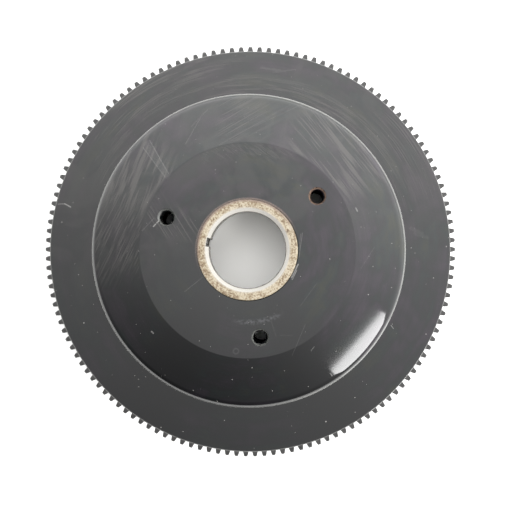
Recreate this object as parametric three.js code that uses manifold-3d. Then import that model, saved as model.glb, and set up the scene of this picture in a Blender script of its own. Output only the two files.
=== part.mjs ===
// Flywheel rotor of a small outboard engine. A forged steel cup carries a starter ring gear on its rim, a
// taper-bored hub at its centre, and, inside, twelve magnets that a moulded cage and a thin sleeve hold
// against the wall. A sensor ring with two half-ring magnets sits on the hub's barrel.
//
// Millimetres. The origin is the centre of the open rim's rest plane. +Z is the spin axis and points out
// of the closed face, where the crankshaft nut sits. Profiles are listed as (radius, height) points,
// counter-clockwise.

import * as THREE from 'three';
import { mergeVertices } from 'three/addons/utils/BufferGeometryUtils.js';
import Module from 'manifold-3d';

const wasm = await Module();
wasm.setup();

// ---------------------------------------------------------------- driving dimensions

const FIT = 0.3; // gap drawn between pieces that touch

const GEAR = {
  teeth: 137,
  module: 1.5875, // 16 diametral pitch
  pressureDeg: 14.5,
  boreR: 99.3,
  bottomZ: 0.5,
  topZ: 10.7,
  endChamfer: 0.3,
  phaseDeg: 0.66, // direction of the first tooth
};

const CUP = {
  skirtR: 80.7,
  wall: 8,
  cornerR: 6, // round between the cone and the skirt
  flatR: 53.5,
  flatZ: 34,
  coneDeg: 13.8,
  webThickness: 8,
  roofZ: 22.5, // ceiling above the magnets
  flangeR: 107.3,
  flangeZ: 12,
  lipThickness: 1, // the part of the flange that covers the ring gear
  lipChamfer: 0.35,
  seatR: 99,
  footFillet: 2,
  mouthChamfer: 1,
};

const HUB = {
  topZ: 37,
  bottomZ: 1,
  neckR: 24.7,
  faceChamfer: 0.5,
  landR: 20.6, // outer edge of the bore's lead-in chamfer
  boreR: 18.75, // small end of the taper
  landDepth: 1.8,
  taper: 0.1, // radius gained for each millimetre of depth, a 1 in 5 taper
  taperLength: 18,
  reliefR: 23.6,
  barrelR: 29,
  flangeR: 52,
  flangeThickness: 7.7,
  barrelFillet: 2,
};

const KEYWAY = { width: 4, depth: 1.8, angleDeg: 168.9 };

const PULLER_HOLES = {
  count: 3,
  circleR: 43.5,
  holeR: 3.325, // tapping size of an M8 thread
  chamfer: 0.95,
  firstAngleDeg: 38,
};

const BALANCE_HOLES = { count: 3, circleR: 88, holeR: 4, depth: 5, firstAngleDeg: 52, stepDeg: 8 };

const MAGNETS = { count: 12, thickness: 7.5, spanDeg: 26, topZ: 22.2, bottomZ: 2.6 };
const CAGE = { bottomZ: 1.3, baseTopZ: 2.3, baseWidth: 2.8 };
const SLEEVE = { thickness: 0.6, lipZ: 0.4, lipR: 67 };
const SENSOR = { outerR: 35, bottomZ: 3, topZ: 12, rim: 1.5, grooveR: 32, magnetSpanDeg: 174 };

const SEGMENTS = { cup: 60, hub: 48, gearBore: 72, sleeve: 60, cage: 60, sensor: 36, hole: 16, arc: 3 };
const SLICE_STEPS = { magnet: 4, post: 1, sensorMagnet: 12 };

// ---------------------------------------------------------------- geometry helpers

const radians = THREE.MathUtils.degToRad;

function points(pairs) {
  return pairs.map(([r, z]) => new THREE.Vector2(r, z));
}

// Points of a round in a profile, from one direction to another about its centre.
function round(centreR, centreZ, radius, fromDeg, toDeg) {
  return Array.from({ length: SEGMENTS.arc + 1 }, (_, i) => {
    const angle = radians(THREE.MathUtils.lerp(fromDeg, toDeg, i / SEGMENTS.arc));
    return [centreR + radius * Math.cos(angle), centreZ + radius * Math.sin(angle)];
  });
}

// A turned ring: the profile closes on itself and spins about +Z.
function turned(pairs, segments) {
  const profile = points([...pairs, pairs[0]]);
  return new THREE.LatheGeometry(profile, segments).rotateX(Math.PI / 2);
}

// A turned plug: the profile starts and ends on the axis.
function turnedPlug(pairs, segments) {
  return new THREE.LatheGeometry(points(pairs), segments).rotateX(Math.PI / 2);
}

// A slice of a ring, centred on the +X direction.
function ringSlice(innerR, outerR, spanDeg, bottomZ, topZ, steps) {
  const half = radians(spanDeg / 2);
  const shape = new THREE.Shape();
  shape.absarc(0, 0, outerR, -half, half, false);
  shape.absarc(0, 0, innerR, half, -half, true);
  const options = { depth: topZ - bottomZ, bevelEnabled: false, curveSegments: steps };
  return new THREE.ExtrudeGeometry(shape, options).translate(0, 0, bottomZ);
}

function solidOf(geometry) {
  const bare = geometry.clone();
  bare.deleteAttribute('normal');
  bare.deleteAttribute('uv');
  const merged = mergeVertices(bare, 1e-4);
  const mesh = new wasm.Mesh({
    numProp: 3,
    vertProperties: merged.attributes.position.array,
    triVerts: new Uint32Array(merged.index.array),
  });
  return new wasm.Manifold(mesh);
}

function geometryOf(solid) {
  const mesh = solid.getMesh();
  const geometry = new THREE.BufferGeometry();
  geometry.setAttribute('position', new THREE.BufferAttribute(mesh.vertProperties, 3));
  geometry.setIndex(new THREE.BufferAttribute(mesh.triVerts, 1));
  return geometry;
}

function cut(geometry, tools) {
  return geometryOf(tools.reduce((solid, tool) => solid.subtract(solidOf(tool)), solidOf(geometry)));
}

function join(geometries) {
  return geometryOf(geometries.map(solidOf).reduce((whole, solid) => whole.add(solid)));
}

function pullerAngles() {
  const step = 360 / PULLER_HOLES.count;
  return Array.from({ length: PULLER_HOLES.count }, (_, i) => PULLER_HOLES.firstAngleDeg + i * step);
}

// ---------------------------------------------------------------- cutting tools

// Drill and countersink for a puller hole, from one height up to a face.
function pullerDrill(angleDeg, fromZ, faceZ, chamfer) {
  const over = 1;
  const { holeR, circleR } = PULLER_HOLES;
  const drill = turnedPlug([
    [0, fromZ - over],
    [holeR, fromZ - over],
    [holeR, faceZ - chamfer],
    [holeR + chamfer + over, faceZ + over],
    [0, faceZ + over],
  ], SEGMENTS.hole);
  const angle = radians(angleDeg);
  return drill.translate(circleR * Math.cos(angle), circleR * Math.sin(angle), 0);
}

// A flat-bottomed drilling that takes a little metal out of the rim's underside.
function balanceDrill(index) {
  const over = 1;
  const { holeR, circleR, depth, firstAngleDeg, stepDeg } = BALANCE_HOLES;
  const drill = turnedPlug([[0, -over], [holeR, -over], [holeR, depth], [0, depth]], SEGMENTS.hole);
  const angle = radians(firstAngleDeg + index * stepDeg);
  return drill.translate(circleR * Math.cos(angle), circleR * Math.sin(angle), 0);
}

// The keyway's floor leans with the tapered bore, so its depth stays the same.
function keywayCutter() {
  const over = 1.5;
  const floorAt = (z) => HUB.boreR + KEYWAY.depth + (HUB.topZ - HUB.landDepth - z) * HUB.taper;
  const topZ = HUB.topZ + over;
  const bottomZ = HUB.topZ - HUB.landDepth - HUB.taperLength - over;
  const innerR = HUB.boreR - 4;
  const shape = new THREE.Shape(points([
    [innerR, bottomZ],
    [floorAt(bottomZ), bottomZ],
    [floorAt(topZ), topZ],
    [innerR, topZ],
  ]));
  return new THREE.ExtrudeGeometry(shape, { depth: KEYWAY.width, bevelEnabled: false })
    .rotateX(Math.PI / 2)
    .translate(0, KEYWAY.width / 2, 0)
    .rotateZ(radians(KEYWAY.angleDeg));
}

// ---------------------------------------------------------------- pieces

const CUP_INNER_R = CUP.skirtR - CUP.wall;
const WEB_BOTTOM_Z = CUP.flatZ - CUP.webThickness;

function rotorCup() {
  const slope = Math.tan(radians(CUP.coneDeg));
  const cornerCentreR = CUP.skirtR - CUP.cornerR;
  const coneZ = CUP.flatZ - (cornerCentreR - CUP.flatR) * slope;
  const cornerCentreZ = coneZ - CUP.cornerR / Math.cos(radians(CUP.coneDeg));
  const profile = [
    [CUP_INNER_R + CUP.mouthChamfer, 0],
    [CUP.seatR - CUP.lipChamfer, 0],
    [CUP.seatR, CUP.lipChamfer],
    [CUP.seatR, CUP.flangeZ - CUP.lipThickness],
    [CUP.flangeR, CUP.flangeZ - CUP.lipThickness],
    [CUP.flangeR, CUP.flangeZ - CUP.lipChamfer],
    [CUP.flangeR - CUP.lipChamfer, CUP.flangeZ],
    ...round(CUP.skirtR + CUP.footFillet, CUP.flangeZ + CUP.footFillet, CUP.footFillet, 270, 180),
    ...round(cornerCentreR, cornerCentreZ, CUP.cornerR, 0, 90 - CUP.coneDeg),
    [CUP.flatR, CUP.flatZ],
    [HUB.neckR + FIT, CUP.flatZ],
    [HUB.neckR + FIT, WEB_BOTTOM_Z],
    [HUB.flangeR + 1.5, WEB_BOTTOM_Z],
    [CUP_INNER_R - 6, CUP.roofZ],
    [CUP_INNER_R, CUP.roofZ],
    [CUP_INNER_R, CUP.mouthChamfer],
  ];
  const drills = pullerAngles().map((a) => pullerDrill(a, WEB_BOTTOM_Z, CUP.flatZ, PULLER_HOLES.chamfer));
  const balance = Array.from({ length: BALANCE_HOLES.count }, (_, i) => balanceDrill(i));
  return cut(turned(profile, SEGMENTS.cup), [...drills, ...balance]);
}

function hub() {
  const flangeTopZ = WEB_BOTTOM_Z - FIT;
  const flangeBottomZ = flangeTopZ - HUB.flangeThickness;
  const boreTopZ = HUB.topZ - HUB.landDepth;
  const taperEndZ = boreTopZ - HUB.taperLength;
  const taperEndR = HUB.boreR + HUB.taperLength * HUB.taper;
  const edge = 0.8;
  const profile = [
    [HUB.reliefR, HUB.bottomZ],
    [HUB.barrelR - edge, HUB.bottomZ],
    [HUB.barrelR, HUB.bottomZ + edge],
    ...round(HUB.barrelR + HUB.barrelFillet, flangeBottomZ - HUB.barrelFillet, HUB.barrelFillet, 180, 90),
    [HUB.flangeR - edge, flangeBottomZ],
    [HUB.flangeR, flangeBottomZ + edge],
    [HUB.flangeR, flangeTopZ],
    [HUB.neckR, flangeTopZ],
    [HUB.neckR, HUB.topZ - HUB.faceChamfer],
    [HUB.neckR - HUB.faceChamfer, HUB.topZ],
    [HUB.landR, HUB.topZ],
    [HUB.boreR, boreTopZ],
    [taperEndR, taperEndZ],
    [HUB.reliefR, taperEndZ - (HUB.reliefR - taperEndR)],
  ];
  const drills = pullerAngles().map((a) => pullerDrill(a, flangeBottomZ, flangeTopZ + 2, 0));
  return cut(turned(profile, SEGMENTS.hub), [keywayCutter(), ...drills]);
}

// Half the angle that a tooth covers at a radius, from the involute of the base circle.
function toothHalfAngle(radius) {
  const pitchR = (GEAR.teeth * GEAR.module) / 2;
  const pressure = radians(GEAR.pressureDeg);
  const involute = (angle) => Math.tan(angle) - angle;
  const baseR = pitchR * Math.cos(pressure);
  const here = radius > baseR ? Math.acos(baseR / radius) : 0;
  return Math.PI / (2 * GEAR.teeth) + involute(pressure) - involute(here);
}

function gearOutline() {
  const pitchR = (GEAR.teeth * GEAR.module) / 2;
  const tipR = pitchR + GEAR.module;
  const rootR = pitchR - 1.25 * GEAR.module;
  const outline = [];
  for (let tooth = 0; tooth < GEAR.teeth; tooth += 1) {
    const centre = (tooth * 2 * Math.PI) / GEAR.teeth;
    const rootHalf = toothHalfAngle(rootR);
    const tipHalf = toothHalfAngle(tipR);
    [
      [rootR, centre - rootHalf],
      [tipR, centre - tipHalf],
      [tipR, centre + tipHalf],
      [rootR, centre + rootHalf],
    ].forEach(([r, angle]) => outline.push([r * Math.cos(angle), r * Math.sin(angle)]));
  }
  return { tipR, outline };
}

function ringGear() {
  const { tipR, outline } = gearOutline();
  const shape = new THREE.Shape(points(outline));
  const borePath = new THREE.Path().absarc(0, 0, GEAR.boreR, 0, 2 * Math.PI, true);
  shape.holes.push(borePath);
  const faceWidth = GEAR.topZ - GEAR.bottomZ;
  const options = { depth: faceWidth, bevelEnabled: false, curveSegments: SEGMENTS.gearBore };
  const toothed = new THREE.ExtrudeGeometry(shape, options).translate(0, 0, GEAR.bottomZ);
  const blank = turnedPlug([
    [0, GEAR.bottomZ - 1],
    [tipR - 2 * GEAR.endChamfer - 1, GEAR.bottomZ - 1],
    [tipR + 0.2, GEAR.bottomZ + GEAR.endChamfer],
    [tipR + 0.2, GEAR.topZ - GEAR.endChamfer],
    [tipR - 2 * GEAR.endChamfer - 1, GEAR.topZ + 1],
    [0, GEAR.topZ + 1],
  ], GEAR.teeth);
  const gear = geometryOf(solidOf(toothed).intersect(solidOf(blank)));
  return gear.rotateZ(radians(GEAR.phaseDeg));
}

const MAGNET_OUTER_R = CUP_INNER_R - FIT;
const MAGNET_INNER_R = MAGNET_OUTER_R - MAGNETS.thickness;
const MAGNET_PITCH_DEG = 360 / MAGNETS.count;

function magnet(index) {
  const { spanDeg, bottomZ, topZ } = MAGNETS;
  return ringSlice(MAGNET_INNER_R, MAGNET_OUTER_R, spanDeg, bottomZ, topZ, SLICE_STEPS.magnet)
    .rotateZ(radians(index * MAGNET_PITCH_DEG));
}

// A flat ring under the magnets' inner edge, with a post standing up in each gap between two of them.
function magnetCage() {
  const baseR = MAGNET_INNER_R + CAGE.baseWidth;
  const base = turned([
    [MAGNET_INNER_R, CAGE.bottomZ],
    [baseR, CAGE.bottomZ],
    [baseR, CAGE.baseTopZ],
    [MAGNET_INNER_R, CAGE.baseTopZ],
  ], SEGMENTS.cage);
  const sideGapDeg = THREE.MathUtils.radToDeg(FIT / MAGNET_INNER_R);
  const postSpan = MAGNET_PITCH_DEG - MAGNETS.spanDeg - 2 * sideGapDeg;
  const inset = 0.05;
  const innerR = MAGNET_INNER_R + inset;
  const outerR = MAGNET_OUTER_R - inset;
  const bottomZ = CAGE.bottomZ + inset;
  const posts = Array.from({ length: MAGNETS.count }, (_, i) => (
    ringSlice(innerR, outerR, postSpan, bottomZ, MAGNETS.topZ, SLICE_STEPS.post)
      .rotateZ(radians((i + 0.5) * MAGNET_PITCH_DEG))
  ));
  return join([base, ...posts]);
}

// A thin sleeve inside the magnets, turned outwards under them at the cup's mouth.
function magnetSleeve() {
  const outerR = MAGNET_INNER_R - FIT;
  const innerR = outerR - SLEEVE.thickness;
  const lipTopZ = SLEEVE.lipZ + SLEEVE.thickness;
  return turned([
    [innerR, SLEEVE.lipZ],
    [SLEEVE.lipR, SLEEVE.lipZ],
    [SLEEVE.lipR, lipTopZ],
    [outerR, lipTopZ],
    [outerR, MAGNETS.topZ],
    [innerR, MAGNETS.topZ],
  ], SEGMENTS.sleeve);
}

// A moulded ring round the hub's barrel, with a groove for the sensor magnets.
function sensorRing() {
  const innerR = HUB.barrelR + FIT;
  const { outerR, bottomZ, topZ, rim, grooveR } = SENSOR;
  return turned([
    [innerR, bottomZ],
    [outerR, bottomZ],
    [outerR, bottomZ + rim],
    [grooveR, bottomZ + rim],
    [grooveR, topZ - rim],
    [outerR, topZ - rim],
    [outerR, topZ],
    [innerR, topZ],
  ], SEGMENTS.sensor);
}

function sensorMagnet(angleDeg) {
  const { outerR, bottomZ, topZ, rim, grooveR, magnetSpanDeg } = SENSOR;
  const lowZ = bottomZ + rim + FIT;
  const highZ = topZ - rim - FIT;
  return ringSlice(grooveR + FIT, outerR - FIT, magnetSpanDeg, lowZ, highZ, SLICE_STEPS.sensorMagnet)
    .rotateZ(radians(angleDeg));
}

// ---------------------------------------------------------------- assembly

const FINISH = {
  blackCoat: { color: 0x17181a, roughness: 0.35, metalness: 0.3 },
  bareSteel: { color: 0xa3978a, roughness: 0.55, metalness: 0.9 },
  toothSteel: { color: 0x5e5a55, roughness: 0.5, metalness: 0.9 },
  ferrite: { color: 0x35363a, roughness: 0.7, metalness: 0.2 },
  stainless: { color: 0xb9bcc0, roughness: 0.3, metalness: 1 },
  blackNylon: { color: 0x202022, roughness: 0.6, metalness: 0 },
};

function piece(name, geometry, finish) {
  const mesh = new THREE.Mesh(geometry, new THREE.MeshStandardMaterial({ name, ...finish }));
  mesh.name = name;
  return mesh;
}

const flywheel = new THREE.Group();
flywheel.add(
  piece('rotor_cup', rotorCup(), FINISH.blackCoat),
  piece('hub', hub(), FINISH.bareSteel),
  piece('ring_gear', ringGear(), FINISH.toothSteel),
  piece('magnet_cage', magnetCage(), FINISH.blackNylon),
  piece('magnet_sleeve', magnetSleeve(), FINISH.stainless),
  piece('sensor_ring', sensorRing(), FINISH.blackNylon),
  piece('sensor_magnet_a', sensorMagnet(90), FINISH.ferrite),
  piece('sensor_magnet_b', sensorMagnet(270), FINISH.ferrite),
);
for (let i = 0; i < MAGNETS.count; i += 1) {
  flywheel.add(piece(`magnet_${String(i + 1).padStart(2, '0')}`, magnet(i), FINISH.ferrite));
}

export default flywheel;
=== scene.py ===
"""The flywheel's looks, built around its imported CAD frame.

Every piece is turned, cut or swept in mesh code at the size of the CAD node that it stands for. Lengths in
the tables below are millimetres, angles are degrees, and heights are above the floor.
"""

import math
from math import cos, pi, radians, sin, tan

import bmesh
import bpy
from mathutils import Matrix, Vector


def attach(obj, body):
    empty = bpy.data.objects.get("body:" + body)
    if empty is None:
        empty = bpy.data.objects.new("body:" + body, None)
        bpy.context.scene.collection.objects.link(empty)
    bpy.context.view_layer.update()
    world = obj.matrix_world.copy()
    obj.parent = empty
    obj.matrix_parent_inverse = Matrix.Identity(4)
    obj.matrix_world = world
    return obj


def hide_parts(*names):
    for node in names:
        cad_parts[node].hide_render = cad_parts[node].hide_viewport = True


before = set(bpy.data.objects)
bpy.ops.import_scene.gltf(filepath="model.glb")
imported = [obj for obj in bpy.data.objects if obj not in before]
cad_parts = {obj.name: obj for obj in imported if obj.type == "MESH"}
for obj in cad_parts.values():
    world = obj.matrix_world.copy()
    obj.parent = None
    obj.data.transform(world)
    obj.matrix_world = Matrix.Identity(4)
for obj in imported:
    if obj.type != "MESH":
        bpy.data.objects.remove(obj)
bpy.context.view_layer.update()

MM = 0.001

# ------------------------------------------------------------------ driving dimensions

FIT = 0.3

GEAR = dict(teeth=137, module=1.5875, pressure=14.5, bore_r=99.3, low=0.5, high=10.7, chamfer=0.3, phase=0.66)

CUP = dict(
    skirt_r=80.7, wall=8, corner_r=6, flat_r=53.5, top=34, cone=13.8, web=8, roof=22.5,
    flange_r=107.3, flange_top=12, lip=1, seat_r=99, foot=2, mouth=1,
)

HUB = dict(
    top=37, low=1, neck_r=24.7, land_r=20.6, bore_r=18.75, land_depth=1.8, taper=0.1, taper_length=18,
    relief_r=23.6, barrel_r=29, flange_r=52, flange=7.7,
)

KEYWAY = dict(width=4, depth=1.8, angle=168.9)
PULLER = dict(count=3, circle_r=43.5, drill_r=3.325, thread_r=4, pitch=1.25, chamfer=0.95, first=38)
BALANCE = dict(count=3, circle_r=88, r=4, depth=5, point=31, first=52, step=8)
MAGNET = dict(count=12, thickness=7.5, span=26, low=2.6, high=22.2)
CAGE = dict(low=1.3, base_top=2.3, base_width=2.8)
SLEEVE = dict(thickness=0.6, lip_z=0.4, lip_r=67)
SENSOR = dict(outer_r=35, low=3, high=12, rim=1.5, groove_r=32, span=174)

WALL_R = CUP["skirt_r"] - CUP["wall"]
WEB_LOW = CUP["top"] - CUP["web"]
HUB_FLANGE_TOP = WEB_LOW - FIT
HUB_FLANGE_LOW = HUB_FLANGE_TOP - HUB["flange"]
TAPER_TOP = HUB["top"] - HUB["land_depth"]
TAPER_LOW = TAPER_TOP - HUB["taper_length"]
TAPER_LOW_R = HUB["bore_r"] + HUB["taper_length"] * HUB["taper"]
MAGNET_OUTER_R = WALL_R - FIT
MAGNET_INNER_R = MAGNET_OUTER_R - MAGNET["thickness"]
MAGNET_STEP = 360 / MAGNET["count"]
PULLER_ANGLES = [PULLER["first"] + i * 360 / PULLER["count"] for i in range(PULLER["count"])]

# ------------------------------------------------------------------ mesh building


def new_object(name, verts, faces):
    """A mesh object from millimetre points, with outward faces."""
    mesh = bpy.data.meshes.new(name)
    mesh.from_pydata([(x * MM, y * MM, z * MM) for x, y, z in verts], [], faces)
    mesh.update()
    obj = bpy.data.objects.new(name, mesh)
    bpy.context.scene.collection.objects.link(obj)
    bm = bmesh.new()
    bm.from_mesh(mesh)
    bmesh.ops.recalc_face_normals(bm, faces=bm.faces)
    bm.to_mesh(mesh)
    bm.free()
    return obj


def rounded(corners, step=12):
    """A closed outline from (radius, height, round) corners; each round becomes an arc."""
    outline = []
    for i, (x, y, fillet) in enumerate(corners):
        corner = Vector((x, y))
        back = (Vector(corners[i - 1][:2]) - corner).normalized()
        ahead = (Vector(corners[(i + 1) % len(corners)][:2]) - corner).normalized()
        if not fillet:
            outline.append((x, y))
            continue
        half = back.angle(ahead) / 2
        centre = corner + (back + ahead).normalized() * (fillet / sin(half))
        first = corner + back * (fillet / tan(half)) - centre
        turn = first.angle_signed(corner + ahead * (fillet / tan(half)) - centre)
        steps = max(2, math.ceil(abs(math.degrees(turn)) / step))
        for k in range(steps + 1):
            arm = first.copy()
            arm.rotate(Matrix.Rotation(-turn * k / steps, 2))
            outline.append(tuple(centre + arm))
    return outline


def lathe(name, outline, steps=360):
    """Turns a closed (radius, height) outline once round the spin axis."""
    count = len(outline)
    verts = []
    for i in range(steps):
        angle = 2 * pi * i / steps
        verts += [(r * cos(angle), r * sin(angle), z) for r, z in outline]
    faces = []
    for i in range(steps):
        here, there = i * count, ((i + 1) % steps) * count
        for k in range(count):
            nxt = (k + 1) % count
            faces.append((here + k, there + k, there + nxt, here + nxt))
    return new_object(name, verts, faces)


def sweep(name, outline, span, centre, steps):
    """Turns a closed (radius, height) outline through part of a circle and caps both ends."""
    count = len(outline)
    verts = []
    for i in range(steps + 1):
        angle = radians(centre + span * (i / steps - 0.5))
        verts += [(r * cos(angle), r * sin(angle), z) for r, z in outline]
    faces = [tuple(range(count)), tuple(range(steps * count, (steps + 1) * count))]
    for i in range(steps):
        here, there = i * count, (i + 1) * count
        for k in range(count):
            nxt = (k + 1) % count
            faces.append((here + k, there + k, there + nxt, here + nxt))
    return new_object(name, verts, faces)


def plug(name, radius_at, heights, sides, x=0.0, y=0.0):
    """A closed round plug whose radius depends on angle and height: a drill, or a tap with its thread."""
    verts = []
    for z in heights:
        for i in range(sides):
            angle = 2 * pi * i / sides
            r = radius_at(angle, z)
            verts.append((x + r * cos(angle), y + r * sin(angle), z))
    last = (len(heights) - 1) * sides
    faces = [tuple(range(sides)), tuple(range(last, last + sides))]
    for row in range(len(heights) - 1):
        for i in range(sides):
            a, b = row * sides + i, row * sides + (i + 1) % sides
            faces.append((a, b, b + sides, a + sides))
    return new_object(name, verts, faces)


def apply_modifier(obj, kind, **settings):
    modifier = obj.modifiers.new(kind, kind)
    for key, value in settings.items():
        setattr(modifier, key, value)
    bpy.context.view_layer.update()
    baked = bpy.data.meshes.new_from_object(obj.evaluated_get(bpy.context.evaluated_depsgraph_get()))
    obj.modifiers.clear()
    obj.data = baked
    return obj


def combine(obj, tools, operation="DIFFERENCE"):
    """Cuts the tools out of a piece, or joins them to it, and removes them."""
    for tool in tools:
        apply_modifier(obj, "BOOLEAN", operation=operation, object=tool, solver="EXACT")
        bpy.data.objects.remove(tool)
    return obj


def soften(obj, width, segments=2, angle=40):
    return apply_modifier(
        obj, "BEVEL", width=width * MM, segments=segments, limit_method="ANGLE", angle_limit=radians(angle),
    )


def finish_piece(obj, material, slot, *nodes, sharp=32):
    """Smooth shading with crisp edges, one material, and the CAD nodes that the piece stands for."""
    obj.data.materials.clear()
    obj.data.materials.append(material)
    obj.data.shade_smooth()
    obj.data.set_sharp_from_angle(angle=radians(sharp))
    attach(obj, "root")
    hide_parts(*nodes)
    return obj


def on_circle(radius, angle):
    return radius * cos(radians(angle)), radius * sin(radians(angle))


# ------------------------------------------------------------------ pieces


def puller_tap(angle, low, high, chamfer):
    """A tapped hole's cutter: a helical thread, opening into a countersink at its top."""
    run_out = 0.6
    x, y = on_circle(PULLER["circle_r"], angle)
    drill_r, thread_r, pitch = PULLER["drill_r"], PULLER["thread_r"], PULLER["pitch"]
    rows_per_turn = 6
    count = math.ceil((high - low) / pitch * rows_per_turn)
    heights = [low + (high - low) * i / count for i in range(count + 1)]
    if chamfer:
        heights += [high + chamfer + run_out]

    def radius_at(theta, z):
        phase = (z / pitch - theta / (2 * pi)) % 1.0
        thread = drill_r + (thread_r - drill_r) * (1 - abs(2 * phase - 1))
        if not chamfer:
            return thread
        sink = drill_r + chamfer - (high + chamfer) + z
        return max(thread, sink) if z <= high else drill_r + chamfer + run_out

    return plug("tap", radius_at, heights, 48, x, y)


def build_cup():
    slope = tan(radians(CUP["cone"]))
    corner_z = CUP["top"] - (CUP["skirt_r"] - CUP["flat_r"]) * slope
    lip_low = CUP["flange_top"] - CUP["lip"]
    outline = rounded([
        (WALL_R, 0, CUP["mouth"]),
        (CUP["seat_r"], 0, 0.4),
        (CUP["seat_r"], lip_low, 0),
        (CUP["flange_r"], lip_low, 0.2),
        (CUP["flange_r"], CUP["flange_top"], 0.35),
        (CUP["skirt_r"], CUP["flange_top"], CUP["foot"]),
        (CUP["skirt_r"], corner_z, CUP["corner_r"]),
        (CUP["flat_r"], CUP["top"], 1.2),
        (HUB["neck_r"] + FIT, CUP["top"], 0.25),
        (HUB["neck_r"] + FIT, WEB_LOW, 0),
        (HUB["flange_r"] + 1.5, WEB_LOW, 1.5),
        (WALL_R - 6, CUP["roof"], 2),
        (WALL_R, CUP["roof"], 0.8),
    ], step=6)
    cup = lathe("cup_body", outline)
    face = CUP["top"] - PULLER["chamfer"]
    taps = [puller_tap(a, WEB_LOW - 1, face, PULLER["chamfer"]) for a in PULLER_ANGLES]
    drills = []
    for i in range(BALANCE["count"]):
        x, y = on_circle(BALANCE["circle_r"], BALANCE["first"] + i * BALANCE["step"])
        point = BALANCE["r"] * tan(radians(BALANCE["point"]))
        heights = [-1, BALANCE["depth"] - point, BALANCE["depth"]]
        drills.append(plug("drill", lambda t, z: BALANCE["r"] if z < BALANCE["depth"] else 0.05, heights, 40, x, y))
    return combine(cup, taps + drills)


def build_hub():
    outline = rounded([
        (HUB["relief_r"], HUB["low"], 0.4),
        (HUB["barrel_r"], HUB["low"], 0.8),
        (HUB["barrel_r"], HUB_FLANGE_LOW, 2),
        (HUB["flange_r"], HUB_FLANGE_LOW, 0.8),
        (HUB["flange_r"], HUB_FLANGE_TOP, 0.3),
        (HUB["neck_r"], HUB_FLANGE_TOP, 0),
        (HUB["neck_r"], HUB["top"], 0.6),
        (HUB["land_r"], HUB["top"], 0.25),
        (HUB["bore_r"], TAPER_TOP, 0.3),
        (TAPER_LOW_R, TAPER_LOW, 0.2),
        (HUB["relief_r"], TAPER_LOW - (HUB["relief_r"] - TAPER_LOW_R), 0.6),
    ], step=9)
    hub = lathe("hub_body", outline, 300)
    taps = [puller_tap(a, HUB_FLANGE_LOW - 1, HUB_FLANGE_TOP + 1, 0) for a in PULLER_ANGLES]
    return combine(hub, [keyway_cutter()] + taps)


def keyway_cutter():
    over = 1.5
    half = KEYWAY["width"] / 2
    top, low = HUB["top"] + over, TAPER_LOW - over

    def floor_at(z):
        return HUB["bore_r"] + KEYWAY["depth"] + (TAPER_TOP - z) * HUB["taper"]

    inner = HUB["bore_r"] - 4
    side = [(inner, low), (floor_at(low), low), (floor_at(top), top), (inner, top)]
    turn = Matrix.Rotation(radians(KEYWAY["angle"]), 3, "Z")
    verts = [tuple(turn @ Vector((r, y, z))) for y in (-half, half) for r, z in side]
    faces = [(0, 1, 2, 3), (7, 6, 5, 4)] + [(k, 4 + k, 4 + (k + 1) % 4, (k + 1) % 4) for k in range(4)]
    return new_object("key", verts, faces)


def tooth_half_angle(radius):
    """Half the angle that a tooth covers at a radius, from the involute."""
    pitch_r = GEAR["teeth"] * GEAR["module"] / 2
    pressure = radians(GEAR["pressure"])
    here = math.acos(min(1.0, pitch_r * cos(pressure) / radius))
    return pi / (2 * GEAR["teeth"]) + (tan(pressure) - pressure) - (tan(here) - here)


def build_gear():
    pitch_r = GEAR["teeth"] * GEAR["module"] / 2
    tip_r = pitch_r + GEAR["module"] - 0.01
    root_r = pitch_r - 1.25 * GEAR["module"]
    gap = pi / GEAR["teeth"]
    flank_radii = [root_r + 0.45, root_r + 1.1, pitch_r, tip_r - 0.8, tip_r - 0.22]
    half = [(root_r, gap), (root_r, gap * 0.93), (root_r + 0.12, tooth_half_angle(root_r + 0.12) + 0.0012)]
    half += [(r, tooth_half_angle(r)) for r in flank_radii]
    half += [(tip_r - 0.05, tooth_half_angle(tip_r) - 0.0004), (tip_r, tooth_half_angle(tip_r) * 0.8)]
    section = [(r, -a) for r, a in half[1:]] + [(r, a) for r, a in reversed(half)]
    inner = GEAR["bore_r"]
    bevel = GEAR["chamfer"]
    # Each level is a height, a limit on the teeth's radius there, and the bore's radius.
    levels = [
        (GEAR["low"], tip_r - 2 * bevel, inner + 0.5),
        (GEAR["low"] + 0.12, tip_r - 1.7 * bevel, inner + 0.2),
        (GEAR["low"] + bevel, tip_r - 0.15, inner),
        (GEAR["low"] + 1.3 * bevel, tip_r, inner),
        (GEAR["high"] - 1.3 * bevel, tip_r, inner),
        (GEAR["high"] - bevel, tip_r - 0.15, inner),
        (GEAR["high"] - 0.12, tip_r - 1.7 * bevel, inner + 0.2),
        (GEAR["high"], tip_r - 2 * bevel, inner + 0.5),
    ]
    angles = []
    for tooth in range(GEAR["teeth"]):
        centre = 2 * pi * tooth / GEAR["teeth"] + radians(GEAR["phase"])
        angles += [(r, centre + a) for r, a in section]
    count = len(angles)
    verts = []
    for z, limit, bore in levels:
        verts += [(min(r, limit) * cos(a), min(r, limit) * sin(a), z) for r, a in angles]
        verts += [(bore * cos(a), bore * sin(a), z) for r, a in angles]
    faces = []
    for level in range(len(levels) - 1):
        low, high = 2 * count * level, 2 * count * (level + 1)
        for k in range(count):
            n = (k + 1) % count
            faces.append((low + k, low + n, high + n, high + k))
            faces.append((low + count + n, low + count + k, high + count + k, high + count + n))
    top = 2 * count * (len(levels) - 1)
    for k in range(count):
        n = (k + 1) % count
        faces.append((k, count + k, count + n, n))
        faces.append((top + k, top + n, top + count + n, top + count + k))
    return new_object("gear_body", verts, faces)


def magnet_outline(low, high, inner, outer):
    return [(inner, low), (outer, low), (outer, high), (inner, high)]


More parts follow.
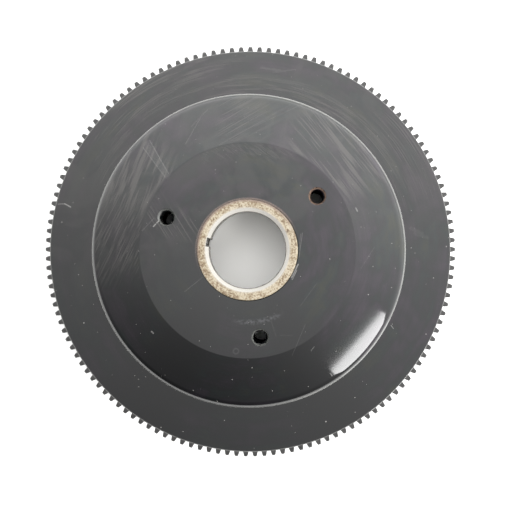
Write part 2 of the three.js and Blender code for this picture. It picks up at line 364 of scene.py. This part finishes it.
def build_magnet(index):
    outline = magnet_outline(MAGNET["low"], MAGNET["high"], MAGNET_INNER_R, MAGNET_OUTER_R)
    body = sweep(f"magnet_body_{index + 1:02d}", outline, MAGNET["span"], index * MAGNET_STEP, 20)
    return soften(body, 0.45, 3)


def build_cage():
    base_r = MAGNET_INNER_R + CAGE["base_width"]
    cage = lathe("cage_body", rounded([
        (MAGNET_INNER_R, CAGE["low"], 0.15), (base_r, CAGE["low"], 0.15),
        (base_r, CAGE["base_top"], 0.15), (MAGNET_INNER_R, CAGE["base_top"], 0.15),
    ], 45), 180)
    gap = math.degrees(FIT / MAGNET_INNER_R)
    span = MAGNET_STEP - MAGNET["span"] - 2 * gap
    outline = magnet_outline(CAGE["low"] + 0.05, MAGNET["high"], MAGNET_INNER_R + 0.05, MAGNET_OUTER_R - 0.05)
    posts = [
        soften(sweep("post", outline, span, (i + 0.5) * MAGNET_STEP, 4), 0.3)
        for i in range(MAGNET["count"])
    ]
    return combine(cage, posts, "UNION")


def build_sleeve():
    outer = MAGNET_INNER_R - FIT
    inner = outer - SLEEVE["thickness"]
    lip_top = SLEEVE["lip_z"] + SLEEVE["thickness"]
    return lathe("sleeve_body", rounded([
        (inner, SLEEVE["lip_z"], 1.0), (SLEEVE["lip_r"], SLEEVE["lip_z"], 0.2),
        (SLEEVE["lip_r"], lip_top, 0.2), (outer, lip_top, 0.4),
        (outer, MAGNET["high"], 0.2), (inner, MAGNET["high"], 0.2),
    ], 15), 300)


def build_sensor_ring():
    inner = HUB["barrel_r"] + FIT
    outer, groove = SENSOR["outer_r"], SENSOR["groove_r"]
    low, high, rim = SENSOR["low"], SENSOR["high"], SENSOR["rim"]
    return lathe("sensor_ring_body", rounded([
        (inner, low, 0.3), (outer, low, 0.4), (outer, low + rim, 0.3), (groove, low + rim, 0.2),
        (groove, high - rim, 0.2), (outer, high - rim, 0.3), (outer, high, 0.4), (inner, high, 0.3),
    ], 20), 240)


def build_sensor_magnet(name, centre):
    low = SENSOR["low"] + SENSOR["rim"] + FIT
    high = SENSOR["high"] - SENSOR["rim"] - FIT
    outline = magnet_outline(low, high, SENSOR["groove_r"] + FIT, SENSOR["outer_r"] - FIT)
    return soften(sweep(name, outline, SENSOR["span"], centre, 90), 0.25)


# ------------------------------------------------------------------ material building


class Graph:
    """Short calls for building a node tree."""

    def __init__(self, tree):
        self.tree = tree
        tree.nodes.clear()

    def node(self, kind, inputs=(), **settings):
        made = self.tree.nodes.new("ShaderNode" + kind)
        for key, value in settings.items():
            setattr(made, key, value)
        for key, value in dict(inputs).items():
            self.feed(made.inputs[key], value)
        return made

    def feed(self, socket, value):
        if isinstance(value, bpy.types.NodeSocket):
            self.tree.links.new(value, socket)
        else:
            socket.default_value = value

    def math(self, operation, a, b=0.0, c=0.0):
        return self.node("Math", {0: a, 1: b, 2: c}, operation=operation).outputs[0]

    def combine(self, x, y, z):
        return self.node("CombineXYZ", {"X": x, "Y": y, "Z": z}).outputs[0]

    def noise(self, vector, scale, detail=4.0, rough=0.55, distortion=0.0):
        settings = {"Vector": vector, "Scale": scale, "Detail": detail, "Roughness": rough, "Distortion": distortion}
        return self.node("TexNoise", settings).outputs["Fac"]

    def span(self, value, low, high, out_low=0.0, out_high=1.0):
        """Maps low..high smoothly to out_low..out_high and holds the ends."""
        settings = {"Value": value, "From Min": low, "From Max": high, "To Min": out_low, "To Max": out_high}
        return self.node("MapRange", settings, interpolation_type="SMOOTHSTEP").outputs["Result"]

    def mix(self, factor, a, b):
        made = self.node("Mix", data_type="RGBA")
        self.feed(made.inputs[0], factor)
        self.feed(made.inputs[6], a)
        self.feed(made.inputs[7], b)
        return made.outputs[2]

    def ramp(self, factor, stops):
        made = self.node("ValToRGB", {"Fac": factor})
        elements = made.color_ramp.elements
        for _ in range(len(stops) - 2):
            elements.new(0.5)
        for element, (position, tone) in zip(elements, stops):
            element.position = position
            element.color = (*tone, 1.0)
        return made.outputs["Color"]


def colour(r, g, b):
    return (r, g, b, 1.0)


class Surface(Graph):
    """A material's node tree with the coordinates that turned parts need, in millimetres."""

    def __init__(self, name):
        self.material = bpy.data.materials.new(name)
        self.material.use_nodes = True
        super().__init__(self.material.node_tree)
        coords = self.node("TexCoord").outputs["Object"]
        self.place = self.node("VectorMath", {0: coords, 1: (1 / MM,) * 3}, operation="MULTIPLY").outputs[0]
        split = self.node("SeparateXYZ", {0: self.place})
        self.x, self.y, self.z = split.outputs
        self.r = self.math("SQRT", self.math("ADD", self.math("POWER", self.x, 2.0), self.math("POWER", self.y, 2.0)))
        self.cos = self.math("DIVIDE", self.x, self.r)
        self.sin = self.math("DIVIDE", self.y, self.r)
        self.plan = self.combine(self.x, self.y, 0.0)
        self.bumps = None

    def rings(self, across, along, detail=3.0, offset=0.0):
        """Noise drawn out round the spin axis, as turning and wiping leave it."""
        r = self.math("ADD", self.math("MULTIPLY", self.math("ADD", self.r, self.z), across), offset)
        vector = self.combine(r, self.math("MULTIPLY", self.cos, along), self.math("MULTIPLY", self.sin, along))
        return self.noise(vector, 1.0, detail)

    def streaks(self, angle, length, width, offset=0.0):
        """Noise drawn out along a straight direction: fine scratches all running one way."""
        turned = self.node(
            "VectorRotate", {"Vector": self.place, "Angle": radians(-angle)}, rotation_type="Z_AXIS"
        ).outputs[0]
        scaled = self.node(
            "VectorMath", {0: turned, 1: (1 / length, 1 / width, 1 / length)}, operation="MULTIPLY"
        ).outputs[0]
        shifted = self.node("VectorMath", {0: scaled, 1: (offset, offset, 0)}, operation="ADD").outputs[0]
        return self.noise(shifted, 1.0, 2.0)

    def sector(self, centre, half, soft):
        """1 within half an opening of an azimuth, fading out over a few degrees."""
        toward = self.math(
            "ADD", self.math("MULTIPLY", self.cos, cos(radians(centre))),
            self.math("MULTIPLY", self.sin, sin(radians(centre))),
        )
        return self.span(toward, cos(radians(half + soft)), cos(radians(max(0, half - soft))))

    def band(self, value, low, high, soft):
        """1 between two values, fading out on both sides."""
        return self.math(
            "MULTIPLY", self.span(value, low - soft, low + soft), self.span(value, high + soft, high - soft)
        )

    def spot(self, x, y, radius, soft):
        away = self.node("VectorMath", {0: self.plan, 1: (x, y, 0)}, operation="DISTANCE").outputs["Value"]
        return self.span(away, radius + soft, radius - soft)

    def stroke(self, start, end, width):
        """A straight mark between two places."""
        along = Vector((end[0] - start[0], end[1] - start[1], 0))
        local = self.node("VectorMath", {0: self.plan, 1: (*start, 0)}, operation="SUBTRACT").outputs[0]
        part = self.node(
            "VectorMath", {0: local, 1: along / along.length_squared}, operation="DOT_PRODUCT"
        ).outputs["Value"]
        held = self.node("Clamp", {"Value": part}).outputs[0]
        foot = self.node("VectorMath", {0: tuple(along), "Scale": held}, operation="SCALE").outputs[0]
        away = self.node("VectorMath", {0: local, 1: foot}, operation="DISTANCE").outputs["Value"]
        return self.span(away, width, width * 0.3)

    def specks(self, scale, share, radius, offset=0.0):
        """Scattered round specks; share is the part of the cells that hold one."""
        place = self.node("VectorMath", {0: self.place, 1: (offset,) * 3}, operation="ADD").outputs[0]
        cells = self.node("TexVoronoi", {"Vector": place, "Scale": scale, "Randomness": 1.0})
        pick, size, _ = self.node("SeparateColor", {0: cells.outputs["Color"]}).outputs
        reach = self.math("MULTIPLY", self.math("ADD", size, 0.35), radius * scale)
        dot = self.math("LESS_THAN", cells.outputs["Distance"], reach)
        return self.math("MULTIPLY", dot, self.math("LESS_THAN", pick, share))

    def most(self, *masks):
        top = masks[0]
        for mask in masks[1:]:
            top = self.math("MAXIMUM", top, mask)
        return top

    def times(self, *masks):
        product = masks[0]
        for mask in masks[1:]:
            product = self.math("MULTIPLY", product, mask)
        return product

    def bump(self, height, strength, distance):
        settings = {"Height": height, "Strength": strength, "Distance": distance * MM}
        if self.bumps is not None:
            settings["Normal"] = self.bumps
        self.bumps = self.node("Bump", settings).outputs[0]

    def finish(self, **inputs):
        shader = self.node("BsdfPrincipled")
        for key, value in inputs.items():
            self.feed(shader.inputs[key.replace("_", " ")], value)
        if self.bumps is not None:
            self.feed(shader.inputs["Normal"], self.bumps)
        out = self.node("OutputMaterial")
        self.tree.links.new(shader.outputs[0], out.inputs[0])
        return self.material


def turned_tangent(surface):
    """The groove direction of a turned surface, for its anisotropic gloss."""
    return surface.node("Tangent", direction_type="RADIAL", axis="Z").outputs[0]


SCRATCHES = [
    # start, end, width, strength
    ((-102.8, 25.4), (-99.4, 25.6), 0.45, 0.4), ((-99.4, 25.6), (-96.2, 23.9), 0.5, 0.8),
    ((-49.6, 55.3), (-39.3, 38.0), 0.40, 0.32), ((-52.9, 51.8), (-40.8, 36.1), 0.40, 0.24),
    ((-51.2, 53.6), (-40.0, 37.0), 2.4, 0.10),
    ((24.9, -7.0), (21.6, -13.6), 0.5, 1.0), ((24.2, -10.0), (22.0, -14.4), 0.3, 0.9),
    ((27.0, 8.5), (25.3, -3.5), 0.3, 0.3), ((26.2, 8.0), (25.2, 0.0), 0.25, 0.22),
    ((-22.3, -13.4), (-31.2, -20.5), 0.22, 0.18),
    ((11.6, -35.0), (14.0, -42.5), 0.22, 0.09), ((16.0, -42.0), (22.0, -42.2), 0.2, 0.08),
    ((22.0, -52.0), (28.5, -36.5), 0.22, 0.12), ((26.0, -27.5), (34.0, -16.5), 0.2, 0.10),
    ((-43.9, 14.5), (-46.6, 11.7), 0.45, 0.75), ((-46.2, 15.9), (-52.2, 9.6), 0.3, 0.14),
    ((-24.0, 66.5), (-31.0, 53.0), 0.4, 0.14), ((-28.5, 62.0), (-20.5, 71.0), 0.3, 0.12),
    ((4.0, 62.0), (31.0, 76.0), 0.35, 0.08), ((-14.0, 52.0), (21.0, 73.5), 0.35, 0.08),
    ((75.4, -39.5), (76.6, -41.2), 0.35, 0.7), ((31.4, -49.8), (32.9, -47.9), 0.3, 0.35),
    ((41.4, -62.0), (42.2, -63.2), 0.4, 0.4), ((56.0, -9.0), (63.0, 1.5), 0.25, 0.1),
    ((86.0, 12.5), (92.0, 9.5), 1.4, 0.07), ((88.0, 9.5), (95.0, 7.5), 1.2, 0.06),
    ((6.0, 98.5), (16.0, 97.0), 0.9, 0.10), ((12.0, 96.0), (24.0, 97.5), 0.7, 0.08),
    ((53.5, 21.0), (54.3, 19.4), 0.5, 0.6), ((-48.0, -40.5), (-47.2, -41.2), 0.6, 0.6),
]


def black_coat():
    """Glossy black coating over turned steel: fine grooves, wiped arcs, hazy film that is partly a painted
    reflection, hairlines and dust.
    """
    s = Surface("black_coat")
    turning = s.rings(9.0, 2.0)
    brush = s.span(s.rings(2.6, 2.2, 4.0, offset=90.0), 0.42, 0.66)
    fine = s.rings(3.4, 5.5, 5.0, offset=55.0)
    wiped = s.span(s.rings(0.30, 2.6, 4.0, offset=40.0), 0.45, 0.62)
    cloud = s.span(s.noise(s.place, 0.035, 4.0, 0.6, 1.2), 0.46, 0.60)
    flange = s.span(s.r, 82.0, 86.0)
    cone = s.band(s.r, 54.0, 79.0, 1.0)
    flat = s.span(s.r, 53.5, 52.5)
    # A lighter hazy film: partly real wiping haze and partly a painted reflection, as it lies mostly on the bright
    # upper sides.
    film_and_reflection = s.most(
        s.times(flange, s.sector(92, 62, 22), s.span(wiped, 0.0, 1.0, 0.3, 1.0), s.span(fine, 0.40, 0.62, 0.2, 1.0),
                s.math("SUBTRACT", 1.0, s.times(s.span(s.r, 90.0, 97.0), s.sector(62, 30, 14), 0.75))),
        s.times(flange, s.sector(33, 14, 8), brush, s.span(fine, 0.40, 0.62, 0.3, 1.0)),
        s.times(s.spot(-5.0, 66.0, 16.0, 14.0), cone, s.span(s.streaks(31, 30.0, 0.65), 0.46, 0.64), 0.8),
        s.times(s.sector(118, 16, 14), flat, s.span(s.r, 34.0, 50.0), 0.3),
        s.times(s.sector(146, 14, 9), cone, s.span(s.streaks(70, 20.0, 2.0, 5.0), 0.42, 0.62), 0.9),
        s.times(s.sector(48, 18, 10), cone, s.span(s.streaks(-52, 26.0, 1.1, 9.0), 0.46, 0.64)),
        s.times(s.sector(170, 18, 10), cone, s.span(s.streaks(62, 12.0, 0.7, 2.0), 0.46, 0.66), 0.6),
        s.times(s.sector(92, 28, 12), flat, s.span(s.r, 38.0, 50.0),
                s.span(s.streaks(-36, 7.0, 0.55), 0.44, 0.62), 0.6),
        s.times(s.sector(160, 10, 7), flat, s.span(s.streaks(-58, 22.0, 0.6, 7.0), 0.5, 0.68), 0.7),
        s.times(cloud, 0.25, s.sector(95, 85, 30)),
    )
    smudge = s.times(
        s.band(s.r, 34.6, 36.6, 0.9), s.sector(279, 15, 8), s.span(s.noise(s.place, 0.7, 4.0), 0.40, 0.60)
    )
    scuffs = s.times(
        s.most(s.times(s.band(s.r, 34.4, 36.8, 0.9), s.sector(278, 17, 7)),
               s.times(s.spot(-35.5, 6.8, 3.0, 4.5), 0.7),
               s.times(s.band(s.r, 29.5, 37.5, 1.5), s.sector(276, 32, 8), 0.35)),
        s.specks(0.85, 0.55, 0.17),
    )
    tiny = s.specks(0.50, 0.12, 0.22)
    larger = s.specks(0.17, 0.10, 0.36, 13.0)
    dust = s.most(s.times(s.most(tiny, larger), s.sector(280, 110, 60)), s.times(tiny, 0.4), scuffs)
    broken = s.span(s.noise(s.place, 1.6, 3.0, 0.6), 0.36, 0.52)
    scratch = s.times(0.0, broken)
    for start, end, width, strength in SCRATCHES:
        scratch = s.math("MAXIMUM", scratch, s.times(s.stroke(start, end, width), strength))
    scratch = s.times(scratch, s.math("ADD", s.math("MULTIPLY", broken, 0.6), 0.4))
    dimple = s.math("SUBTRACT", s.spot(-5.8, -49.9, 1.55, 0.3), s.spot(-5.8, -49.9, 1.0, 0.3))
    # The dome's edge: a light line, partly wear and partly a painted reflection, dimmer round azimuth 257 and away
    # from azimuth 135 as painted shade.
    edge = s.times(
        s.span(s.r, 78.9, 79.9), s.band(s.z, 22.6, 27.2, 0.6),
        s.math("SUBTRACT", s.span(s.sector(135, 75, 25), 0.0, 1.0, 0.72, 1.0), s.times(s.sector(257, 26, 14), 0.30)),
    )
    creep = s.times(
        s.band(s.r, 24.5, 26.0, 0.35), s.sector(112, 72, 26), s.span(s.noise(s.place, 3.2, 3.0), 0.36, 0.52)
    )
    sinks = s.times(s.band(s.z, 33.0, 33.94, 0.04), s.span(s.r, 49.5, 49.0))
    # The oil tint is weaker, down towards near black, on the dark sides: painted shade that follows the light there,
    # not the coat.
    shaded = s.most(s.sector(235, 11, 6), s.sector(297, 9, 6))
    lit = s.math("SUBTRACT", s.span(s.sector(55, 95, 35), 0.0, 1.0, 0.30, 1.0), s.times(shaded, 0.28))
    lit = s.times(lit, s.span(s.rings(2.6, 2.2, 4.0, offset=17.0), 0.34, 0.64, 0.45, 1.25))
    oil_and_shade = s.ramp(s.math("ADD", s.times(s.noise(s.place, 0.05, 4.0, 0.6, 0.9), 0.5),
                        s.times(s.rings(0.16, 1.7, 5.0, offset=7.0), 0.5)), [
        (0.37, (0.0100, 0.0060, 0.0110)), (0.455, (0.0040, 0.0028, 0.0055)), (0.50, (0.0010, 0.0016, 0.0022)),
        (0.545, (0.0012, 0.0040, 0.0044)), (0.63, (0.0062, 0.0078, 0.0036)),
    ])
    oil_and_shade = s.mix(lit, colour(0.0004, 0.0005, 0.0007), oil_and_shade)
    base = s.mix(film_and_reflection, oil_and_shade, colour(0.028, 0.026, 0.0245))
    base = s.mix(edge, base, colour(0.27, 0.27, 0.26))
    # The flange's outer edge: a light line, partly wear and partly a painted highlight.
    lip = s.times(s.span(s.r, 106.75, 107.0), s.band(s.z, 11.3, 12.2, 0.15))
    base = s.mix(s.times(lip, 0.8), base, colour(0.12, 0.12, 0.115))
    base = s.mix(s.times(creep, 0.9), base, colour(0.115, 0.082, 0.068))
    sink_tone = s.mix(s.sector(38, 8, 2), colour(0.062, 0.064, 0.060), colour(0.115, 0.078, 0.058))
    base = s.mix(s.times(sinks, s.span(s.noise(s.place, 1.5, 3.0), 0.30, 0.5)), base, sink_tone)
    base = s.mix(s.times(smudge, 0.45), base, colour(0.05, 0.05, 0.055))
    base = s.mix(s.times(dimple, 0.12), base, colour(0.10, 0.10, 0.10))
    base = s.mix(s.times(scratch, 0.8), base, colour(0.16, 0.155, 0.15))
    base = s.mix(s.times(dust, 0.6), base, colour(0.22, 0.21, 0.20))
    rough = s.math("ADD", s.span(s.most(film_and_reflection, smudge), 0.0, 1.0, 0.07, 0.13), s.times(s.most(scratch, dust), 0.25))
    s.bump(turning, 0.12, 0.01)
    s.bump(scratch, -0.3, 0.03)
    return s.finish(
        Base_Color=base, Roughness=rough, IOR=1.5, Anisotropic=0.6, Anisotropic_Rotation=0.25,
        Tangent=turned_tangent(s),
    )


def rusty_steel():
    """The hub: speckled tan rust on its end face, a bright machined bore and land, dark steel below."""
    s = Surface("rusty_steel")
    pits = s.noise(s.place, 1.5, 5.0, 0.68)
    flecks = s.rings(1.5, 26.0, 4.0)
    patches = s.noise(s.place, 0.22, 3.0, 0.5, 0.4)
    blend = s.math("ADD", s.times(pits, 0.42), s.math("ADD", s.times(flecks, 0.36), s.times(patches, 0.22)))
    tan_rust = s.ramp(blend, [
        (0.42, (0.070, 0.042, 0.021)), (0.455, (0.122, 0.085, 0.047)), (0.49, (0.182, 0.144, 0.090)),
        (0.54, (0.272, 0.240, 0.180)),
    ])
    worn = s.times(s.band(s.r, 20.4, 21.2, 0.5), 0.5)
    tan_rust = s.mix(worn, tan_rust, colour(0.30, 0.28, 0.24))
    red_rust = s.mix(
        s.span(s.noise(s.place, 3.6, 3.0, 0.6), 0.40, 0.60), colour(0.06, 0.034, 0.026), colour(0.17, 0.125, 0.095)
    )
    edge = s.times(s.span(s.r, 23.2, 24.2), s.sector(112, 82, 24))
    face = s.mix(s.times(edge, 0.8), tan_rust, red_rust)
    machined = s.most(s.span(s.r, 20.75, 20.45), s.span(s.z, 36.0, 35.4))
    bright = s.mix(s.rings(6.0, 2.0), colour(0.235, 0.225, 0.20), colour(0.30, 0.29, 0.265))
    # A lighter upper right, painted to even out the land's shading.
    bright = s.mix(s.sector(45, 75, 40), bright, colour(0.40, 0.385, 0.355))
    oiled = s.mix(pits, colour(0.10, 0.10, 0.10), colour(0.16, 0.155, 0.15))
    # Nearly black paint under the puller holes, so that they look deep: painted shade, carried by the oiled colour
    # from here on.
    tapped = s.times(s.band(s.r, 39.0, 48.0, 0.3), s.band(s.z, HUB_FLANGE_LOW - 1, HUB_FLANGE_TOP + 1, 0.2))
    oiled = s.mix(tapped, oiled, colour(0.01, 0.01, 0.01))
    bore = s.times(s.span(s.r, 24.3, 23.9), machined)
    tone = s.mix(machined, face, oiled)
    tone = s.mix(bore, tone, bright)
    # Nearly black paint in the keyway and at the top of the taper: painted shade that stands in for depth.
    slot = s.times(
        s.sector(KEYWAY["angle"], 6.3, 0.4), s.band(s.r, HUB["bore_r"] + 0.25, 23.0, 0.1),
        s.span(s.z, 36.95, 36.85),
    )
    rim = s.band(s.z, TAPER_TOP - 0.35, TAPER_TOP + 0.28, 0.08)
    tone = s.mix(s.times(s.most(slot, rim), bore, 0.9), tone, colour(0.03, 0.025, 0.02))
    s.bump(s.times(pits, s.math("SUBTRACT", 1.0, machined)), 0.5, 0.12)
    s.bump(s.rings(8.0, 2.0), 0.1, 0.01)
    rough = s.math("SUBTRACT", s.span(pits, 0.3, 0.7, 0.45, 0.70), s.times(machined, 0.22))
    land = s.times(bore, s.span(s.z, TAPER_TOP + 0.05, TAPER_TOP + 0.15))
    metal = s.math("ADD", 0.1, s.times(s.math("SUBTRACT", machined, land), 0.85))
    return s.finish(Base_Color=tone, Roughness=rough, Metallic=metal)


def tooth_steel():
    """Dark oiled teeth, a little brighter where the starter pinion has rubbed them."""
    s = Surface("tooth_steel")
    wear = s.noise(s.place, 0.5, 5.0, 0.6)
    tone = s.mix(s.span(wear, 0.35, 0.65), colour(0.0015, 0.0013, 0.001), colour(0.008, 0.007, 0.0065))
    s.bump(s.noise(s.place, 2.5, 4.0), 0.25, 0.05)
    return s.finish(Base_Color=tone, Roughness=s.span(wear, 0.3, 0.7, 0.26, 0.42), IOR=1.56)


def ferrite():
    s = Surface("ferrite")
    grain = s.noise(s.place, 3.0, 6.0, 0.65)
    tone = s.mix(grain, colour(0.035, 0.035, 0.038), colour(0.085, 0.084, 0.086))
    s.bump(grain, 0.35, 0.05)
    s.bump(s.streaks(0, 40.0, 0.3), 0.15, 0.03)
    return s.finish(Base_Color=tone, Roughness=s.span(grain, 0.3, 0.7, 0.5, 0.7))


def stainless():
    s = Surface("stainless")
    drawn = s.rings(10.0, 2.0)
    tone = s.mix(drawn, colour(0.50, 0.50, 0.49), colour(0.66, 0.66, 0.65))
    s.bump(drawn, 0.2, 0.02)
    return s.finish(
        Base_Color=tone, Roughness=s.span(drawn, 0.3, 0.7, 0.22, 0.36), Metallic=1.0, Anisotropic=0.6,
        Tangent=turned_tangent(s),
    )


def nylon():
    s = Surface("nylon")
    grain = s.noise(s.place, 2.2, 5.0, 0.6)
    flow = s.noise(s.place, 0.12, 3.0)
    tone = s.mix(flow, colour(0.012, 0.012, 0.013), colour(0.030, 0.030, 0.031))
    s.bump(grain, 0.4, 0.04)
    return s.finish(Base_Color=tone, Roughness=s.span(grain, 0.3, 0.7, 0.45, 0.65))


def floor_white():
    """Plain white paper."""
    s = Surface("floor_white")
    return s.finish(Base_Color=colour(0.79, 0.79, 0.78), Roughness=0.8)


# ------------------------------------------------------------------ assembly

COAT, RUST, TEETH, FERRITE, STAINLESS, NYLON = (
    black_coat(), rusty_steel(), tooth_steel(), ferrite(), stainless(), nylon()
)

finish_piece(build_cup(), COAT, "black_coat", "rotor_cup")
finish_piece(build_hub(), RUST, "bare_steel", "hub")
finish_piece(build_gear(), TEETH, "tooth_steel", "ring_gear")
for number in range(MAGNET["count"]):
    finish_piece(build_magnet(number), FERRITE, "ferrite", f"magnet_{number + 1:02d}")
finish_piece(build_cage(), NYLON, "black_nylon", "magnet_cage")
finish_piece(build_sleeve(), STAINLESS, "stainless", "magnet_sleeve")
finish_piece(build_sensor_ring(), NYLON, "black_nylon", "sensor_ring")
for letter, centre in (("a", 90), ("b", 270)):
    body = build_sensor_magnet(f"sensor_magnet_body_{letter}", centre)
    finish_piece(body, FERRITE, "ferrite", f"sensor_magnet_{letter}")

# ------------------------------------------------------------------ floor, camera and light

FLOOR_HALF = 3000
FLOOR_Z = -0.05  # just under the cup's rim, so that the two don't share a plane
floor = new_object(
    "floor",
    [(x * FLOOR_HALF, y * FLOOR_HALF, FLOOR_Z) for x, y in ((-1, -1), (1, -1), (1, 1), (-1, 1))],
    [(0, 1, 2, 3)],
)
floor.data.materials.append(floor_white())

CAMERA = dict(x=16.3, y=-8.9, z=295.7, lens=37.4, shift_x=-0.0504, shift_y=0.0259)
camera_data = bpy.data.cameras.new("camera")
camera_data.lens = CAMERA["lens"]
camera_data.sensor_width = 36
camera_data.shift_x = CAMERA["shift_x"]
camera_data.shift_y = CAMERA["shift_y"]
camera_data.clip_start = 0.01
camera = bpy.data.objects.new("camera", camera_data)
camera.location = (CAMERA["x"] * MM, CAMERA["y"] * MM, CAMERA["z"] * MM)
bpy.context.scene.collection.objects.link(camera)
bpy.context.scene.camera = camera


def studio():
    """Plain soft studio light: a pale room that darkens evenly towards one side."""
    world = bpy.data.worlds.new("studio")
    bpy.context.scene.world = world
    world.use_nodes = True
    g = Graph(world.node_tree)
    x, y, _ = g.node("SeparateXYZ", {0: g.node("TexCoord").outputs["Generated"]}).outputs
    side = radians(ROOM["bright_side"])
    toward = g.math("ADD", g.math("MULTIPLY", x, cos(side)), g.math("MULTIPLY", y, sin(side)))
    light = g.span(toward, -1.0, 1.0, ROOM["dark"], ROOM["bright"])
    room = g.node("Background", {"Color": colour(1, 1, 1), "Strength": light})
    out = g.node("OutputWorld")
    g.tree.links.new(room.outputs[0], out.inputs["Surface"])


def softbox(azimuth, elevation, distance, size, power):
    """A square soft light that faces the object. Angles in degrees, lengths in metres, power in watts."""
    lamp = bpy.data.lights.new("softbox", "AREA")
    lamp.size = size
    lamp.energy = power
    box = bpy.data.objects.new("softbox", lamp)
    a, e = radians(azimuth), radians(elevation)
    box.location = (distance * cos(e) * cos(a), distance * cos(e) * sin(a), distance * sin(e))
    box.rotation_euler = (0, pi / 2 - e, a)
    bpy.context.scene.collection.objects.link(box)


ROOM = dict(bright_side=65, dark=0.2, bright=4.6)
softbox(azimuth=319, elevation=36, distance=1.2, size=0.5, power=14)
studio()
bpy.context.scene.view_settings.view_transform = "Standard"
